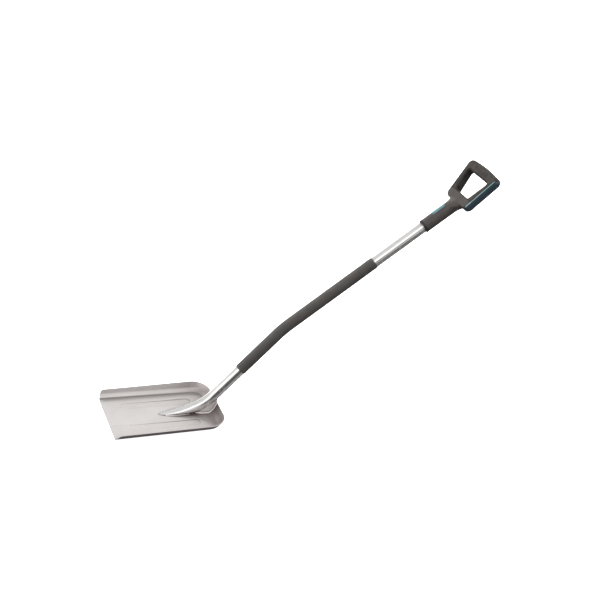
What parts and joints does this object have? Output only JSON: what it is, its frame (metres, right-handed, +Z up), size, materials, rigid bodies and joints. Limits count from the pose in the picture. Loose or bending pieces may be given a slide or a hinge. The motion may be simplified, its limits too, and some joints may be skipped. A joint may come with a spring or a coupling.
{
  "type": "snow shovel",
  "caption": "Snow shovel: a pressed aluminium pan with low flared sides, a bent tube shaft with a plastic sleeve, and a D-shaped handle set at an angle.",
  "frame": {"origin": "middle of the flat sole under the pan", "axes": "+X from the pan's front edge towards the handle, +Y to the left of a person pushing the shovel forwards (towards -X), +Z up"},
  "size_m": [1.0436, 0.2228, 0.7954],
  "materials": {
    "pan_aluminium": "satin pressed sheet",
    "weld_metal": "rippled weld bead",
    "tube_aluminium": "drawn and anodised, satin",
    "sleeve_plastic": "fine matt grain",
    "handle_plastic": "moulded, half gloss",
    "ring_plastic": "moulded",
    "badge_plastic": "blank, satin",
    "screw_steel": "zinc plated",
    "soft_grip": "mottled matt skin",
    "pad_rubber": "matt, dark blue-green",
    "trim_plastic": "light turquoise"
  },
  "bodies": {
    "root": {"blade_pan": "pan_aluminium", "heel_web": "pan_aluminium", "foot_weld_left": "weld_metal", "foot_weld_right": "weld_metal", "heel_weld_left": "weld_metal", "heel_weld_right": "weld_metal", "shaft_tube": "tube_aluminium", "grip_sleeve": "sleeve_plastic", "handle_body": "handle_plastic", "collar_end_ring": "ring_plastic", "collar_badge": "badge_plastic", "handle_screw": "screw_steel", "crossbar_grip": "soft_grip", "side_pad_left": "pad_rubber", "side_pad_right": "pad_rubber", "trim_line_left": "trim_plastic", "trim_line_right": "trim_plastic"}
  },
  "joints": []
}
